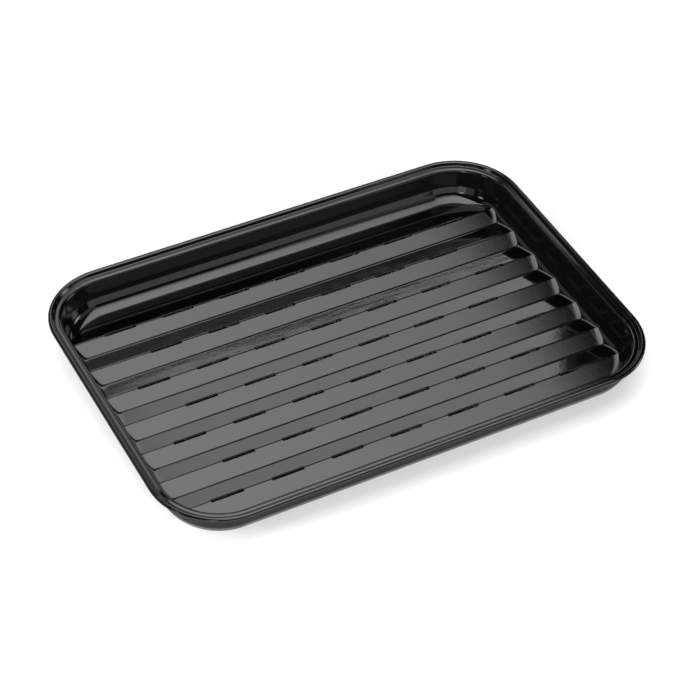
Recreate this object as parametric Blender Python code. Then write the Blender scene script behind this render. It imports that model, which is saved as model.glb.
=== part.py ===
"""An enamelled steel grill tray: a pressed, slotted, corrugated sheet between two fired enamel coats.

Metres, +Z up.  X runs along the ridges (the long side), -Y is the front, and z = 0 is the plane that
the tray stands on.  The origin is under the middle of the tray.
"""

import math

import bmesh
import bpy
import numpy as np
from mathutils import Vector
from mathutils.geometry import delaunay_2d_cdt

MM = 0.001

# The plan of the tray, over the outside of the rolled lip.
LENGTH = 345.0 * MM
WIDTH = 242.5 * MM
CORNER_RADIUS = 46.5 * MM
CORNER_STEPS = 7

# The three layers, measured across the sheet, with a hairline between steel and enamel.
STEEL = 0.80 * MM
ENAMEL = 0.20 * MM
HAIRLINE = 0.05 * MM
HALF_SHEET = STEEL / 2 + HAIRLINE + ENAMEL

# Heights of the middle of the sheet.
VALLEY_Z = HALF_SHEET
RIDGE_RISE = 2.4 * MM
LEDGE_Z = 23.5 * MM
LIP_Z = 25.7 * MM
LIP_EDGE_Z = 24.5 * MM

# The rim and wall: how far each bend stands in from the outside of the lip.
LIP_EDGE_IN = HALF_SHEET
RISER_TOP_IN = 2.6 * MM
RISER_FOOT_IN = 4.2 * MM
SHOULDER_IN = 8.3 * MM
WALL_BREAK_IN = 9.0 * MM
WALL_BREAK_Z = 10.1 * MM
WALL_FOOT_IN = 13.8 * MM

# Bend radii on the middle of the sheet, each with the number of facets it gets.
LIP_ROLL = (1.20 * MM, 5)
RISER_TOP_BEND = (0.95 * MM, 3)
RISER_FOOT_BEND = (1.45 * MM, 3)
SHOULDER_BEND = (1.85 * MM, 5)
WALL_BREAK_BEND = (5.00 * MM, 2)
WALL_FOOT_BEND = (10.30 * MM, 5)

# Bends of the finished layers that are sharper than this are left crisp when they are shaded.
CRISP_BEND = math.radians(19)

# The corrugated floor: ridges side by side along Y, each running along X.
RIDGES = 7
RIDGE_PITCH = 27.25 * MM
SLOPE_STEPS = 2

# The drain slots, punched through the ridge tops in staggered rows.
SLOT_LENGTH = 22.2 * MM
SLOT_WIDTH = 2.4 * MM
SLOT_PITCH = 41.4 * MM
SLOTS_IN_ODD_ROWS = 7

MERGE = 0.0001 * MM


def clear_scene():
    """Remove whatever the scene holds."""
    for item in list(bpy.data.objects):
        bpy.data.objects.remove(item, do_unlink=True)


def rounded_bend(before, corner, after, radius, steps):
    """Points of an arc that rounds the corner of a path of (inset, height) points."""
    back = (before - corner).normalized()
    ahead = (after - corner).normalized()
    half_angle = back.angle(ahead) / 2
    start = corner + back * (radius / math.tan(half_angle))
    centre = corner + (back + ahead).normalized() * (radius / math.sin(half_angle))
    end = corner + ahead * (radius / math.tan(half_angle))
    sweep = (start - centre).angle_signed(end - centre)
    turned = []
    for step in range(steps + 1):
        angle = -sweep * step / steps
        spoke = start - centre
        turned.append(centre + Vector((
            spoke.x * math.cos(angle) - spoke.y * math.sin(angle),
            spoke.x * math.sin(angle) + spoke.y * math.cos(angle),
        )))
    return turned


def wall_profile():
    """The section through rim and wall, from the lip's edge in to the flat of the floor."""
    corners = [
        (Vector((LIP_EDGE_IN, LIP_Z)), LIP_ROLL),
        (Vector((RISER_TOP_IN, LIP_Z)), RISER_TOP_BEND),
        (Vector((RISER_FOOT_IN, LEDGE_Z)), RISER_FOOT_BEND),
        (Vector((SHOULDER_IN, LEDGE_Z)), SHOULDER_BEND),
        (Vector((WALL_BREAK_IN, WALL_BREAK_Z)), WALL_BREAK_BEND),
        (Vector((WALL_FOOT_IN, VALLEY_Z)), WALL_FOOT_BEND),
    ]
    first = Vector((LIP_EDGE_IN, LIP_EDGE_Z))
    last = Vector((WALL_FOOT_IN + WALL_FOOT_BEND[0], VALLEY_Z))
    stops = [first] + [corner for corner, bend in corners] + [last]
    profile = []
    for index, (corner, (radius, steps)) in enumerate(corners):
        profile += rounded_bend(stops[index], corner, stops[index + 2], radius, steps)
    return profile


PROFILE = wall_profile()
PROFILE_INSETS = [point.x for point in PROFILE]
PROFILE_HEIGHTS = [point.y for point in PROFILE]
# The wall's foot alone, turned so that its heights rise, to look an inset up from a height.
FOOT = PROFILE[-WALL_FOOT_BEND[1] - 1:][::-1]


def outline(inset):
    """The tray's rounded rectangle, brought in by an inset, as plan points anticlockwise."""
    radius = CORNER_RADIUS - inset
    reach_x = LENGTH / 2 - CORNER_RADIUS
    reach_y = WIDTH / 2 - CORNER_RADIUS
    points = []
    for quarter, (side_x, side_y) in enumerate([(1, 1), (-1, 1), (-1, -1), (1, -1)]):
        for step in range(CORNER_STEPS + 1):
            angle = math.radians(90) * (quarter + step / CORNER_STEPS)
            points.append(Vector((
                side_x * reach_x + radius * math.cos(angle),
                side_y * reach_y + radius * math.sin(angle),
            )))
    return points


def inset_at(x, y):
    """How far a plan point stands in from the outside of the lip."""
    over_x = abs(x) - (LENGTH / 2 - CORNER_RADIUS)
    over_y = abs(y) - (WIDTH / 2 - CORNER_RADIUS)
    if over_x > 0 and over_y > 0:
        return CORNER_RADIUS - math.hypot(over_x, over_y)
    return CORNER_RADIUS - max(over_x, over_y)


def floor_height(y):
    """The corrugation: ridges a pitch apart, with flat ground outside the last valleys."""
    if abs(y) >= RIDGES * RIDGE_PITCH / 2:
        return VALLEY_Z
    from_ridge = abs((y / RIDGE_PITCH + 0.5) % 1.0 - 0.5) * 2
    return VALLEY_Z + RIDGE_RISE * (1 - from_ridge)


def sheet_height(x, y):
    """The higher of the corrugated floor and the bowl that the walls make."""
    bowl = float(np.interp(inset_at(x, y), PROFILE_INSETS, PROFILE_HEIGHTS))
    return max(bowl, floor_height(y))


def ridge_end(y):
    """Where the floor's line at y runs into the foot of the end wall."""
    foot_heights = [point.y for point in FOOT]
    foot_in = float(np.interp(floor_height(y), foot_heights, [point.x for point in FOOT]))
    over_y = max(0.0, abs(y) - (WIDTH / 2 - CORNER_RADIUS))
    return LENGTH / 2 - CORNER_RADIUS + math.sqrt((CORNER_RADIUS - foot_in) ** 2 - over_y ** 2)


def slot_centres():
    """Plan centres of the drain slots: full rows and rows of one fewer, in turn."""
    centres = []
    for row in range(RIDGES):
        count = SLOTS_IN_ODD_ROWS - row % 2
        y = (row - (RIDGES - 1) / 2) * RIDGE_PITCH
        for index in range(count):
            centres.append(Vector(((index - (count - 1) / 2) * SLOT_PITCH, y)))
    return centres


class Plan:
    """Points and lines of the sheet's plan, gathered for a constrained triangulation."""

    def __init__(self):
        self.points = []
        self.lines = []

    def path(self, points, closed=False):
        first = len(self.points)
        self.points += points
        last = len(self.points) - 1
        self.lines += [(index, index + 1) for index in range(first, last)]
        if closed:
            self.lines.append((last, first))


def plan_of_sheet():
    """Every line that the pressed shape bends along, and the outline of every slot."""
    plan = Plan()
    for inset in PROFILE_INSETS:
        plan.path(outline(inset), closed=True)
    half_rows = RIDGES * SLOPE_STEPS
    rows = [row * RIDGE_PITCH / 2 / SLOPE_STEPS for row in range(-half_rows, half_rows + 1)]
    for side in (-1, 1):
        plan.path([Vector((side * ridge_end(y), y)) for y in rows])
    for y in rows[::SLOPE_STEPS]:
        plan.path([Vector((-ridge_end(y), y)), Vector((ridge_end(y), y))])
    for centre in slot_centres():
        corners = [(-1, -1), (1, -1), (1, 1), (-1, 1)]
        plan.path([
            centre + Vector((sx * SLOT_LENGTH / 2, sy * SLOT_WIDTH / 2)) for sx, sy in corners
        ], closed=True)
    return plan


def in_slot(point):
    """Whether a plan point lies inside a drain slot."""
    for centre in slot_centres():
        away = point - centre
        if abs(away.x) < SLOT_LENGTH / 2 and abs(away.y) < SLOT_WIDTH / 2:
            return True
    return False


def pressed_sheet():
    """The middle surface of the whole pressing, as a mesh whose faces point up."""
    plan = plan_of_sheet()
    points, _, triangles, _, _, _ = delaunay_2d_cdt(plan.points, plan.lines, [], 0, MERGE)
    shape = bmesh.new()
    corners = [shape.verts.new((x, y, sheet_height(x, y))) for x, y in points]
    for triangle in triangles:
        middle = sum((points[index] for index in triangle), Vector((0, 0))) / 3
        if not in_slot(middle):
            shape.faces.new([corners[index] for index in triangle])
    bmesh.ops.delete(shape, geom=[v for v in shape.verts if not v.link_faces], context="VERTS")
    mesh = bpy.data.meshes.new("pressed_sheet")
    shape.to_mesh(mesh)
    shape.free()
    return mesh


def finish(name, colour, roughness, metallic):
    """A plain material for one layer."""
    material = bpy.data.materials.new(name)
    material.use_nodes = True
    shader = material.node_tree.nodes["Principled BSDF"]
    shader.inputs["Base Color"].default_value = (*colour, 1.0)
    shader.inputs["Roughness"].default_value = roughness
    shader.inputs["Metallic"].default_value = metallic
    return material


def thicken(sheet, lower, upper):
    """A closed mesh that fills the sheet between two distances from its middle."""
    blank = bpy.data.objects.new("blank", sheet)
    bpy.context.collection.objects.link(blank)
    solidify = blank.modifiers.new("thickness", "SOLIDIFY")
    solidify.thickness = upper - lower
    solidify.offset = (upper + lower) / (upper - lower)
    solidify.use_even_offset = True
    solidify.use_rim = True
    formed = blank.evaluated_get(bpy.context.evaluated_depsgraph_get())
    mesh = bpy.data.meshes.new_from_object(formed)
    bpy.data.objects.remove(blank)
    return mesh


def layer(name, sheet, lower, upper, material, parent):
    """One layer of the tray, between two distances from the middle of the sheet."""
    mesh = thicken(sheet, lower, upper)
    mesh.name = name
    mesh.shade_smooth()
    mesh.set_sharp_from_angle(angle=CRISP_BEND)
    mesh.materials.append(material)
    item = bpy.data.objects.new(name, mesh)
    bpy.context.collection.objects.link(item)
    item.parent = parent


def main():
    clear_scene()
    tray = bpy.data.objects.new("tray", None)
    bpy.context.collection.objects.link(tray)
    sheet = pressed_sheet()
    steel = finish("bare_steel", (0.42, 0.42, 0.43), 0.45, 1.0)
    enamel = finish("black_enamel", (0.010, 0.010, 0.011), 0.12, 0.0)
    steel_face = STEEL / 2
    coat_back = steel_face + HAIRLINE
    layer("steel_pan", sheet, -steel_face, steel_face, steel, tray)
    layer("inside_enamel", sheet, coat_back, HALF_SHEET, enamel, tray)
    layer("underside_enamel", sheet, -HALF_SHEET, -coat_back, enamel, tray)


main()
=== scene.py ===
"""Looks of the enamelled grill tray: a fine pressed sheet, three layers of it, and a studio.

The sheet is worked out in millimetres and scaled into its meshes; everything else is in metres.
X runs along the ridges, -Y is the front, +Z is up.
"""

import math

import bpy
import numpy as np
from mathutils import Matrix, Vector
from mathutils.geometry import delaunay_2d_cdt


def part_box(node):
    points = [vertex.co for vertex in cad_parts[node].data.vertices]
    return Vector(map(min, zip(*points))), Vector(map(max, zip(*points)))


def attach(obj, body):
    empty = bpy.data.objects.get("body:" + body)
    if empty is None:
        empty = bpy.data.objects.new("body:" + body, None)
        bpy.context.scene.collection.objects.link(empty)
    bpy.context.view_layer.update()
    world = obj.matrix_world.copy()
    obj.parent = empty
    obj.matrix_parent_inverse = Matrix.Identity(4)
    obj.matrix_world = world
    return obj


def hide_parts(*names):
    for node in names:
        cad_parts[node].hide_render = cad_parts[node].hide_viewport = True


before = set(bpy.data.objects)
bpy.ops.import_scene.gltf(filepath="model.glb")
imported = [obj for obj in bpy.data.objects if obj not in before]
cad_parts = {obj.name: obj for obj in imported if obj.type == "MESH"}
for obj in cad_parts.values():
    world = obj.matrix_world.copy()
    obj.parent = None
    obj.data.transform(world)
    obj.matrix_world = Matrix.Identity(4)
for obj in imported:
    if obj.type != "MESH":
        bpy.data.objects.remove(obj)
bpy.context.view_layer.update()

MM = 0.001
HAIR = 1e-6
NOTHING = 1e-12

# The plan over the outside of the lip, in millimetres, from the CAD.
LOW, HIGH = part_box("inside_enamel")
LENGTH = (HIGH.x - LOW.x) / MM
WIDTH = (HIGH.y - LOW.y) / MM
TOP = HIGH.z / MM
CORNER_RADIUS = 46.5
REACH_X = LENGTH / 2 - CORNER_RADIUS
REACH_Y = WIDTH / 2 - CORNER_RADIUS

# Distances of the layers' faces from the middle of the sheet, in millimetres.
STEEL_FACE = 0.40
COAT_BACK = 0.45
COAT_FACE = 0.65

# Heights of the middle of the sheet, in millimetres.
RIM_STEP = 2.2
LIP_TURN_DOWN = 1.2
LEDGE_FALL = 0.2
VALLEY_Z = COAT_FACE
WALL_BREAK_Z = 10.1
LIP_Z = TOP - COAT_FACE
LEDGE_Z = LIP_Z - RIM_STEP
LIP_EDGE_Z = LIP_Z - LIP_TURN_DOWN

# How far the bends of the rim and wall stand in from the outside of the lip, in millimetres.
LIP_EDGE_IN = COAT_FACE
RISER_TOP_IN = 2.6
RISER_FOOT_IN = 4.2
SHOULDER_IN = 8.3
WALL_BREAK_IN = 9.0
WALL_FOOT_IN = 13.8
FOOT_RADIUS = 10.3

# Those bends as (inset, height) corners, each with its radius and number of steps.
BENDS = [
    ((LIP_EDGE_IN, LIP_Z), 1.20, 9),
    ((RISER_TOP_IN, LIP_Z), 0.95, 7),
    ((RISER_FOOT_IN, LEDGE_Z - LEDGE_FALL), 1.45, 7),
    ((SHOULDER_IN, LEDGE_Z + LEDGE_FALL), 1.85, 10),
    ((WALL_BREAK_IN, WALL_BREAK_Z), 5.0, 6),
    ((WALL_FOOT_IN, VALLEY_Z), FOOT_RADIUS, 22),
]

# The corrugated floor, in millimetres, and how wide its bends are rounded.
RIDGES = 7
RIDGE_PITCH = 27.25
RIDGE_RISE = 2.4
RIDGE_SLOPE = RIDGE_RISE / (RIDGE_PITCH / 2)
CREST_HALF_WIDTH = 0.75
VALLEY_HALF_WIDTH = 1.3

# How softly the ridges run into the wall's foot: by the ridge's height, and near the end walls.
TIP_SOFTNESS = 0.75
END_SOFTNESS = 0.5
END_EASE = 8.0

# How far up the foot's arc the floor's formula goes, short of where the arc stands upright.
FOOT_REACH = 0.9 * FOOT_RADIUS

# The drain slots, in millimetres.
SLOT_LENGTH = 22.2
SLOT_WIDTH = 2.4
SLOT_PITCH = 41.4
SLOTS_IN_ODD_ROWS = 7
SLOT_HALF = (SLOT_LENGTH / 2, SLOT_WIDTH / 2)
SLOT_CORNER = 0.35
SLOT_CORNER_STEPS = 3

# Rings round every edge of the sheet, in millimetres back from it, that its hems are turned on.
HEM_RINGS = (0.0, 0.1, 0.2, 0.3, 0.4)

# From here back, points are shaded by the pressed sheet's own normals.
LEVEL_FROM = HEM_RINGS[-2] - 0.01

# How the plan is divided: steps along the straight sides and between rings, in millimetres, and
# the number of steps round each corner.
WALL_STEPS = (14.0, 14.0)
WALL_CORNER_STEPS = 20
FOOT_STEPS = (7.0, 1.1)
FOOT_CORNER_STEPS = 44
FOOT_RING_STEP = 0.55
FOOT_MARGIN = 1.0
RIDGE_STEP = 6.0

# Plan points closer than this are one point, and slopes are taken over this distance to each side.
SAME_POINT = 1e-5
PROBE = 0.01


def rounded(before, corner, after, radius, steps):
    """Points and unit normals of an arc that rounds a corner of the section."""
    before, corner, after = Vector(before), Vector(corner), Vector(after)
    back = (before - corner).normalized()
    ahead = (after - corner).normalized()
    half_angle = back.angle(ahead) / 2
    start = corner + back * (radius / math.tan(half_angle))
    centre = corner + (back + ahead).normalized() * (radius / math.sin(half_angle))
    end = corner + ahead * (radius / math.tan(half_angle))
    sweep = -(start - centre).angle_signed(end - centre)
    facing = 1 if centre.y < corner.y else -1
    arc = []
    for step in range(steps + 1):
        spoke = Matrix.Rotation(sweep * step / steps, 2) @ (start - centre)
        arc.append((centre + spoke, spoke.normalized() * facing))
    return arc


def wall_section():
    """The section through rim and wall: run along it, inset, height and the normal's two parts."""
    stops = [(LIP_EDGE_IN, LIP_EDGE_Z)]
    stops += [corner for corner, radius, steps in BENDS]
    stops.append((WALL_FOOT_IN + FOOT_RADIUS, VALLEY_Z))
    stations = []
    for index, (corner, radius, steps) in enumerate(BENDS):
        stations += rounded(stops[index], corner, stops[index + 2], radius, steps)
    points = np.array([point for point, normal in stations])
    normals = np.array([normal for point, normal in stations])
    pace = np.hypot(*np.diff(points, axis=0).T)
    run = np.concatenate([[0.0], np.cumsum(pace)])
    return run, points[:, 0], points[:, 1], normals


RUN, INSET, HEIGHT, NORMAL = wall_section()

# Outside of this station the plan is laid out flat, so that the wall's rings don't crowd.
JOIN_FROM = 12.0
JOIN = int(np.searchsorted(INSET, JOIN_FROM))
FOOT_END = float(INSET[-1])
JOIN_INSET = float(INSET[JOIN])
JOIN_RUN = float(RUN[JOIN])


def reach(points, centre, half, radius):
    """Distance of plan points outside a rounded rectangle, and the unit direction away from it."""
    side = np.where(points >= centre, 1.0, -1.0)
    over = np.abs(points - centre) - (np.array(half) - radius)
    cornered = (over > 0).all(axis=1)
    length = np.maximum(np.hypot(over[:, 0], over[:, 1]), NOTHING)
    along_x = over[:, 0] > over[:, 1]
    flat = np.stack([along_x, ~along_x], axis=1).astype(float)
    away = side * np.where(cornered[:, None], over / length[:, None], flat)
    return np.where(cornered, length, over.max(axis=1)) - radius, away


def rounded_rectangle(centre, half, radius, corner_steps, spacing):
    """Points of a closed rounded rectangle, anticlockwise, with its two kinds of side divided."""
    points = []
    for quarter, (side_x, side_y) in enumerate([(1, 1), (-1, 1), (-1, -1), (1, -1)]):
        hub = Vector((
            centre[0] + side_x * (half[0] - radius),
            centre[1] + side_y * (half[1] - radius),
        ))
        for step in range(corner_steps + 1):
            angle = math.radians(90) * (quarter + step / corner_steps)
            points.append(hub + Vector((math.cos(angle), math.sin(angle))) * radius)
        side = quarter % 2
        length = 2 * (half[side] - radius)
        heading = [Vector((-1, 0)), Vector((0, -1)), Vector((1, 0)), Vector((0, 1))][quarter]
        steps = max(1, round(length / spacing[side]))
        start = points[-1]
        points += [start + heading * (length * step / steps) for step in range(1, steps)]
    return points


def floor_bends():
    """Each bend of the corrugation along Y: where it is, its half width and its change of slope."""
    bends = []
    for row in range(-RIDGES, RIDGES + 1):
        crest = (row + RIDGES) % 2 == 1
        half_width = CREST_HALF_WIDTH if crest else VALLEY_HALF_WIDTH
        turn = -2 * RIDGE_SLOPE if crest else 2 * RIDGE_SLOPE
        if abs(row) == RIDGES:
            turn = RIDGE_SLOPE
        bends.append((row * RIDGE_PITCH / 2, half_width, turn))
    return bends


def wave(y):
    """Height of the corrugation over the valleys, with every bend rounded."""
    rise = np.zeros_like(y)
    for place, half_width, turn in floor_bends():
        past = y - place
        rounded_step = (past + half_width) ** 2 / (4 * half_width)
        ramp = np.where(past < half_width, rounded_step, past)
        rise += turn * np.where(past < -half_width, 0.0, ramp)
    return np.maximum(rise, 0.0)


def floor_height(points):
    """The floor and the foot of the wall, run together where the ridges meet the foot."""
    outside, away = reach(points, (0, 0), (LENGTH / 2, WIDTH / 2), CORNER_RADIUS)
    up_foot = np.maximum(0.0, FOOT_END + outside)
    bowl = FOOT_RADIUS - np.sqrt(FOOT_RADIUS**2 - np.minimum(up_foot, FOOT_REACH) ** 2)
    ridge = wave(points[:, 1])
    ease = np.clip((outside + FOOT_END + END_EASE / 2) / END_EASE, 0.0, 1.0)
    ease = ease**2 * (3 - 2 * ease) * away[:, 0] ** 2
    blend = np.maximum(TIP_SOFTNESS * ridge + END_SOFTNESS * ease, HAIR)
    share = np.clip(0.5 + 0.5 * (bowl - ridge) / blend, 0.0, 1.0)
    return VALLEY_Z + bowl * share + ridge * (1 - share) + blend * share * (1 - share)


def floor_normal(points):
    """Unit normals of the floor, from its height a small probe to each side."""
    slope_x = floor_height(points + (PROBE, 0)) - floor_height(points - (PROBE, 0))
    slope_y = floor_height(points + (0, PROBE)) - floor_height(points - (0, PROBE))
    normal = np.stack([-slope_x, -slope_y, np.full_like(slope_x, 2 * PROBE)], axis=1)
    return normal / np.linalg.norm(normal, axis=1)[:, None]


def press(plan):
    """Where points of the laid-out plan end up on the pressed sheet, with their normals."""
    outside, away = reach(plan, (0, 0), (LENGTH / 2, WIDTH / 2), CORNER_RADIUS)
    run = JOIN_RUN - outside - JOIN_INSET
    inset = np.interp(run, RUN, INSET)
    on_wall = -outside < JOIN_INSET - HAIR
    true_plan = np.where(on_wall[:, None], plan - away * (inset + outside)[:, None], plan)
    height = np.where(on_wall, np.interp(run, RUN, HEIGHT), floor_height(plan))
    facing = [np.interp(run, RUN, NORMAL[:, part]) for part in (0, 1)]
    wall_normal = np.column_stack([-away * facing[0][:, None], facing[1]])
    normal = np.where(on_wall[:, None], wall_normal, floor_normal(plan))
    normal /= np.linalg.norm(normal, axis=1)[:, None]
    return np.column_stack([true_plan, height]), normal


def slot_centres():
    """Plan centres of the drain slots: full rows and rows of one fewer, in turn."""
    centres = []
    for row in range(RIDGES):
        count = SLOTS_IN_ODD_ROWS - row % 2
        y = (row - (RIDGES - 1) / 2) * RIDGE_PITCH
        centres += [((index - (count - 1) / 2) * SLOT_PITCH, y) for index in range(count)]
    return centres


SLOTS = slot_centres()


def plan_lines():
    """The lines that the triangulation keeps, as (points, closed) pairs."""
    rings = []
    for run in RUN[:JOIN]:
        rings.append((JOIN_INSET - (JOIN_RUN - float(run)), WALL_CORNER_STEPS, WALL_STEPS))
    inset = JOIN_INSET
    while inset < FOOT_END + FOOT_MARGIN:
        rings.append((inset, FOOT_CORNER_STEPS, FOOT_STEPS))
        inset += FOOT_RING_STEP
    for back in HEM_RINGS[1:]:
        rings.append((JOIN_INSET - JOIN_RUN + back, WALL_CORNER_STEPS, WALL_STEPS))
    paths = []
    for inset, corner_steps, spacing in rings:
        half = (LENGTH / 2 - inset, WIDTH / 2 - inset)
        ring = rounded_rectangle((0, 0), half, CORNER_RADIUS - inset, corner_steps, spacing)
        paths.append((ring, True))
    corner = CORNER_RADIUS - JOIN_INSET
    for place, half_width, _ in floor_bends():
        for y in (place - half_width, place, place + half_width):
            over = max(0.0, abs(y) - REACH_Y)
            end = REACH_X + math.sqrt(corner**2 - over**2)
            steps = round(2 * end / RIDGE_STEP)
            paths.append(([Vector((x, y)) for x in np.linspace(-end, end, steps + 1)], False))
    spacing = (RIDGE_STEP, RIDGE_STEP)
    for centre in SLOTS:
        for back in HEM_RINGS:
            half = (SLOT_HALF[0] + back, SLOT_HALF[1] + back)
            radius = SLOT_CORNER + back
            ring = rounded_rectangle(centre, half, radius, SLOT_CORNER_STEPS, spacing)
            paths.append((ring, True))
    return paths


def triangulate():
    """The laid-out plan of the slotted sheet: its points and its triangles."""
    points, edges = [], []
    for path, closed in plan_lines():
        first = len(points)
        points += path
        last = len(points) - 1
        edges += [(index, index + 1) for index in range(first, last)]
        if closed:
            edges.append((last, first))
    points, _, triangles, _, _, _ = delaunay_2d_cdt(points, edges, [], 0, SAME_POINT)
    plan = np.array(points)
    triangles = np.array(triangles)
    middle = plan[triangles].mean(axis=1)
    solid = np.ones(len(triangles), bool)
    for centre in SLOTS:
        solid &= reach(middle, centre, SLOT_HALF, SLOT_CORNER)[0] > 0
    triangles = triangles[solid]
    used, triangles = np.unique(triangles, return_inverse=True)
    return plan[used], triangles.reshape(-1, 3)


PLAN, TRIANGLES = triangulate()


def hems():
    """How far each plan point is back from the nearest edge, and the direction away from that edge."""
    outside, away = reach(PLAN, (0, 0), (LENGTH / 2, WIDTH / 2), CORNER_RADIUS)
    back = JOIN_RUN - JOIN_INSET - outside
    direction = -away
    for centre in SLOTS:
        beside, away = reach(PLAN, centre, SLOT_HALF, SLOT_CORNER)
        nearer = beside < back
        back = np.where(nearer, beside, back)
        direction = np.where(nearer[:, None], away, direction)
    return np.maximum(back, 0.0), direction


def rim_edges():
    """The edges that have a triangle on one side only."""
    sides = np.concatenate([TRIANGLES[:, [0, 1]], TRIANGLES[:, [1, 2]], TRIANGLES[:, [2, 0]]])
    directed = {tuple(edge) for edge in sides.tolist()}
    return [edge for edge in sorted(directed) if edge[::-1] not in directed]


BACK, DIRECTION = hems()
RIM_EDGES = rim_edges()


def face_of_layer(hem):
    """One face of a layer: (set back, distance from mid-sheet) at each hem ring, then level on."""
    set_back = np.interp(BACK, HEM_RINGS, [point[0] for point in hem])
    set_back = np.where(BACK > HEM_RINGS[-1], BACK, set_back)
    distance = np.interp(BACK, HEM_RINGS, [point[1] for point in hem])
    place, normal = press(PLAN + DIRECTION * (set_back - BACK)[:, None])
    return place + normal * distance[:, None], normal


def layer(name, upper_hem, lower_hem, replaced, material):
    """A closed shell between two faces of the sheet, standing for one CAD node."""
    upper, upper_normal = face_of_layer(upper_hem)
    lower, lower_normal = face_of_layer(lower_hem)
    count = len(PLAN)
    faces = TRIANGLES.tolist()
    faces += (TRIANGLES[:, ::-1] + count).tolist()
    faces += [(b, a, a + count, b + count) for a, b in RIM_EDGES]
    mesh = bpy.data.meshes.new(name)
    mesh.from_pydata(np.concatenate([upper, lower]) * MM, [], faces)
    mesh.shade_smooth()
    mesh.materials.append(material)
    normals = np.zeros(count * 6, np.float32)
    mesh.vertex_normals.foreach_get("vector", normals)
    normals = normals.reshape(-1, 3)
    level = BACK > LEVEL_FROM
    normals[:count][level] = upper_normal[level]
    normals[count:][level] = -lower_normal[level]
    mesh.normals_split_custom_set_from_vertices(normals)
    piece = bpy.data.objects.new(name, mesh)
    bpy.context.scene.collection.objects.link(piece)
    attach(piece, "root")
    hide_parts(replaced)


class Nodes:
    """Short calls for building one material's node tree."""

    def __init__(self, name):
        self.material = bpy.data.materials.new(name)
        self.material.use_nodes = True
        self.tree = self.material.node_tree
        self.shader = self.tree.nodes["Principled BSDF"]
        place = self.tree.nodes.new("ShaderNodeTexCoord")
        self.place = place.outputs["Object"]

    def plug(self, socket, value):
        """Link an output to a socket, or set the socket to a constant."""
        if isinstance(value, bpy.types.NodeSocket):
            self.tree.links.new(value, socket)
        else:
            socket.default_value = value

    def noise(self, scale, detail=2.0, roughness=0.5, stretch=(1.0, 1.0, 1.0)):
        """A noise value from 0 to 1 over the object's own metres, times an optional stretch."""
        spread = self.tree.nodes.new("ShaderNodeVectorMath")
        spread.operation = "MULTIPLY"
        self.plug(spread.inputs[0], self.place)
        self.plug(spread.inputs[1], stretch)
        texture = self.tree.nodes.new("ShaderNodeTexNoise")
        self.plug(texture.inputs["Vector"], spread.outputs[0])
        self.plug(texture.inputs["Scale"], scale)
        self.plug(texture.inputs["Detail"], detail)
        self.plug(texture.inputs["Roughness"], roughness)
        return texture.outputs["Fac"]

    def remap(self, value, low, high, new_low, new_high):
        """A value brought from one range to another and held there."""
        node = self.tree.nodes.new("ShaderNodeMapRange")
        for name, number in zip(
            ("Value", "From Min", "From Max", "To Min", "To Max"),
            (value, low, high, new_low, new_high),
        ):
            self.plug(node.inputs[name], number)
        return node.outputs["Result"]

    def mix(self, share, first, second):
        """A colour between two colours."""
        node = self.tree.nodes.new("ShaderNodeMix")
        node.data_type = "RGBA"
        self.plug(node.inputs[0], share)
        self.plug(node.inputs[6], first)
        self.plug(node.inputs[7], second)
        return node.outputs[2]

    def bump(self, height, depth, under=None):
        """A normal for a height from 0 to 1 that stands for a depth in metres."""
        node = self.tree.nodes.new("ShaderNodeBump")
        self.plug(node.inputs["Distance"], depth)
        self.plug(node.inputs["Height"], height)
        if under:
            self.plug(node.inputs["Normal"], under)
        return node.outputs["Normal"]

    def finish(self, **values):
        """Plug the shader's sockets, named with underscores for spaces."""
        for name, value in values.items():
            self.plug(self.shader.inputs[name.replace("_", " ")], value)
        return self.material


def black_enamel(name, gloss_low, gloss_high, peel, shine, colour, speck_colour):
    """Fired black glass: orange peel over ripples drawn out along X, pits, and uneven gloss."""
    nodes = Nodes(name)
    waves = nodes.noise(scale=55.0, detail=2.0, roughness=0.5, stretch=(0.22, 1.0, 1.0))
    dimples = nodes.noise(scale=420.0, detail=2.0, roughness=0.45)
    pits = nodes.remap(nodes.noise(scale=2600.0, detail=0.0), 0.74, 0.80, 0.0, 1.0)
    return nodes.finish(
        Base_Color=nodes.mix(pits, (*colour, 1.0), (*speck_colour, 1.0)),
        Roughness=nodes.remap(nodes.noise(scale=90.0, detail=3.0), 0.3, 0.7, gloss_low, gloss_high),
        Normal=nodes.bump(dimples, depth=peel, under=nodes.bump(waves, depth=0.00007)),
        IOR=1.5,
        Specular_IOR_Level=shine,
    )


def rolled_steel(name):
    """Bare cold-rolled sheet, drawn along X."""
    nodes = Nodes(name)
    grain = nodes.noise(scale=300.0, detail=3.0, roughness=0.6, stretch=(0.04, 1.0, 1.0))
    return nodes.finish(
        Base_Color=nodes.mix(grain, (0.34, 0.34, 0.35, 1.0), (0.46, 0.46, 0.47, 1.0)),
        Roughness=nodes.remap(grain, 0.3, 0.7, 0.34, 0.5),
        Normal=nodes.bump(grain, depth=0.00001),
        Metallic=1.0,
    )


enamel = black_enamel(
    "black_enamel", gloss_low=0.050, gloss_high=0.075, peel=0.000009, shine=0.5,
    colour=(0.0013, 0.0013, 0.0014), speck_colour=(0.004, 0.004, 0.004),
)
back_enamel = black_enamel(
    "black_ground_enamel", gloss_low=0.16, gloss_high=0.26, peel=0.000020, shine=0.18,
    colour=(0.0030, 0.0030, 0.0032), speck_colour=(0.02, 0.02, 0.02),
)
steel = rolled_steel("bare_steel")

# How far the steel is set back at each hem ring, so that the inside enamel covers its cut edge.
STEEL_RINGS = (0.25, 0.28, 0.32, 0.36, 0.4)

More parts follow.
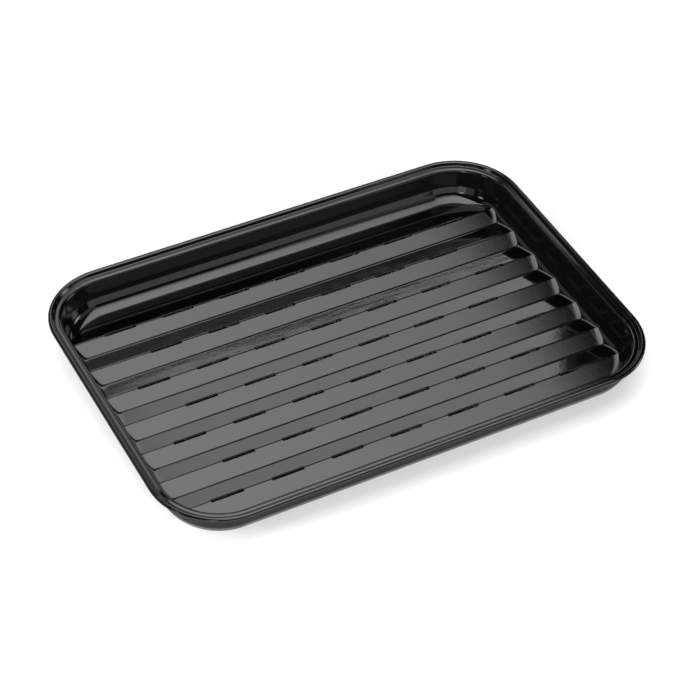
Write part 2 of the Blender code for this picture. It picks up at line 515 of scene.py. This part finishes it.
# Each layer with its upper and lower hem, as (set back, distance from mid-sheet) at each hem ring.
layer(
    "inside_coat",
    [(0.0, -0.40), (0.0, 0.42), (0.03, 0.56), (0.09, 0.63), (0.4, COAT_FACE)],
    [(0.2, -0.40), (0.2, -0.15), (0.2, 0.20), (0.2, COAT_BACK), (0.4, COAT_BACK)],
    "inside_enamel", enamel,
)
layer(
    "pressed_steel",
    [(back, STEEL_FACE) for back in STEEL_RINGS],
    [(back, -STEEL_FACE) for back in STEEL_RINGS],
    "steel_pan", steel,
)
layer(
    "underside_coat",
    [(back, -COAT_BACK) for back in HEM_RINGS],
    [(0.0, -0.52), (0.03, -0.58), (0.1, -0.63), (0.2, -COAT_FACE), (0.4, -COAT_FACE)],
    "underside_enamel", back_enamel,
)


def softbox(name, centre, aim, size, radiance, for_floor=False):
    """A rectangular light with a stated radiance, for mirrors and gloss or for matt surfaces."""
    data = bpy.data.lights.new(name, "AREA")
    data.shape = "RECTANGLE"
    data.size, data.size_y = size
    data.energy = radiance * math.pi * size[0] * size[1]
    light = bpy.data.objects.new(name, data)
    light.location = centre
    light.rotation_euler = (Vector(aim) - Vector(centre)).to_track_quat("-Z", "Y").to_euler()
    light.visible_camera = False
    light.visible_diffuse = for_floor
    light.visible_glossy = not for_floor
    bpy.context.scene.collection.objects.link(light)
    return light


def fade(light, *axes):
    """Let a softbox's strength vary over its width and height, by (place from 0 to 1, strength)."""
    light.data.use_nodes = True
    tree = light.data.node_tree
    geometry = tree.nodes.new("ShaderNodeNewGeometry")
    split = tree.nodes.new("ShaderNodeSeparateXYZ")
    tree.links.new(geometry.outputs["Parametric"], split.inputs[0])
    product = tree.nodes.new("ShaderNodeMath")
    product.operation = "MULTIPLY"
    for part, stops in enumerate(axes):
        ramp = tree.nodes.new("ShaderNodeValToRGB")
        elements = ramp.color_ramp.elements
        while len(elements) < len(stops):
            elements.new(0.5)
        for element, (place, strength) in zip(elements, stops):
            element.position = place
            element.color = (strength, strength, strength, 1.0)
        tree.links.new(split.outputs[part], ramp.inputs["Fac"])
        tree.links.new(ramp.outputs["Color"], product.inputs[part])
    tree.links.new(product.outputs[0], tree.nodes["Emission"].inputs["Strength"])


# Fades of a softbox, as (place from 0 to 1, strength).
LEVEL = [(0.0, 1.0), (1.0, 1.0)]
SOFT = [(0.0, 0.0), (0.5, 1.0), (1.0, 0.0)]
TO_THE_RIGHT = [
    (0.0, 1.0), (0.47, 0.97), (0.70, 0.84), (0.85, 0.71), (0.90, 0.58), (0.935, 0.28), (0.97, 0.06),
    (1.0, 0.01),
]
TO_THE_FRONT = [
    (0.0, 0.02), (0.10, 0.05), (0.31, 0.17), (0.54, 0.45), (0.71, 0.68), (0.87, 0.82), (1.0, 0.95),
]

# Each light that the tray mirrors: its centre, its aim, its width and height, and its radiance.
overhead = softbox("overhead_softbox", (0.2, 0.08, 1.0), (0.2, 0.08, 0.0), (1.0, 1.06), 4.6)
fade(overhead, TO_THE_RIGHT, [(0.0, 0.94), (0.4, 0.97), (0.69, 0.98), (0.95, 0.87), (1.0, 0.85)])
front = softbox("front_softbox", (0.2, -0.80, 1.0), (0.2, -0.80, 0.0), (1.0, 0.70), 4.3)
fade(front, TO_THE_RIGHT, TO_THE_FRONT)
strip = softbox("backdrop_strip", (0.57, 1.6, 0.969), (0.57, 0.0, 0.969), (0.94, 0.376), 2.1)
fade(strip, [(0.0, 1.0), (0.66, 1.0), (0.72, 0.93), (0.78, 0.77), (1.0, 0.5)], LEVEL)
low = softbox("backdrop_low", (0.5, 1.6, 0.387), (0.5, 0.0, 0.387), (1.6, 0.774), 0.25)
fade(low, [(0.0, 0.30), (0.34, 0.36), (0.52, 0.9), (1.0, 1.0)], LEVEL)
upper = softbox("backdrop_upper", (0.65, 1.6, 1.63), (0.65, 0.0, 1.63), (1.7, 0.94), 2.3)
fade(upper, [(0.0, 0.08), (0.441, 0.08), (0.53, 0.17), (0.588, 0.35), (0.647, 0.8), (1.0, 1.0)], LEVEL)
softbox("backdrop_right", (1.6, 1.6, 0.95), (1.6, 0.0, 0.95), (0.9, 1.1), 1.5)
softbox("front_card", (-0.2, -2.0, 0.40), (-0.2, 0.0, 0.40), (3.6, 0.78), 0.95)
softbox("corner_card", (-1.5, -1.5, 0.6), (0.0, 0.0, 0.3), (1.3, 1.2), 0.6)
softbox("back_left_card", (-1.22, 0.87, 1.17), (0.0, 0.0, 0.0), (1.4, 0.8), 0.5)
softbox("front_right_card", (1.22, -0.99, 0.85), (0.0, 0.0, 0.0), (1.4, 0.8), 0.5)
lamps = [
    ("right_lamp", (1.71, -0.44, 0.49), (-0.146, 0.102, 0.005), (0.80, 0.60), 9.0),
    ("left_lamp", (-1.70, -0.27, 0.69), (0.155, 0.093, 0.006), (0.50, 0.60), 9.0),
    ("corner_lamp", (-0.99, -1.38, 0.73), (0.147, 0.104, 0.008), (0.44, 0.32), 14.0),
]
for name, place, aim, size, radiance in lamps:
    fade(softbox(name, place, aim, size, radiance), SOFT, SOFT)

# The diffuse light, which is nearly all for the floor, as the enamel is black.
softbox("fill", (-0.3, 0.9, 2.2), (-0.3, 0.9, 0.0), (5.0, 3.4), 1.9, for_floor=True)
softbox("front_fill", (0.0, -2.6, 0.5), (0.0, 0.0, 0.0), (4.0, 0.6), 34.0, for_floor=True)
softbox("left_fill", (-2.6, 0.0, 0.5), (0.0, 0.0, 0.0), (4.0, 0.6), 26.0, for_floor=True)

world = bpy.data.worlds.new("room")
world.use_nodes = True
world.node_tree.nodes["Background"].inputs["Color"].default_value = (0.85, 0.85, 0.85, 1.0)
world.cycles_visibility.diffuse = False
world.cycles_visibility.glossy = False
bpy.context.scene.world = world

FLOOR_HALF = 2.4
FLOOR_DROP = 0.0002
floor_mesh = bpy.data.meshes.new("floor")
floor_corners = [(x * FLOOR_HALF, y * FLOOR_HALF, 0) for x, y in [(-1, -1), (1, -1), (1, 1), (-1, 1)]]
floor_mesh.from_pydata(floor_corners, [], [(0, 1, 2, 3)])
floor = bpy.data.objects.new("floor", floor_mesh)
floor.location.z = -FLOOR_DROP
paper = Nodes("pale_floor")
floor_mesh.materials.append(paper.finish(
    Base_Color=paper.mix(paper.noise(scale=6.0), (0.85, 0.85, 0.85, 1.0), (0.87, 0.87, 0.87, 1.0)),
    Roughness=0.9,
    Specular_IOR_Level=0.1,
))
bpy.context.scene.collection.objects.link(floor)

camera_data = bpy.data.cameras.new("camera")
camera_data.lens = 114.94
camera_data.sensor_width = 36.0
camera = bpy.data.objects.new("camera", camera_data)
camera.location = (-0.50892, -0.92249, 1.00903)
camera.rotation_euler = [math.radians(angle) for angle in (46.3215, -1.3879, -27.7131)]
bpy.context.scene.collection.objects.link(camera)
bpy.context.scene.camera = camera
bpy.context.scene.view_settings.view_transform = "Standard"
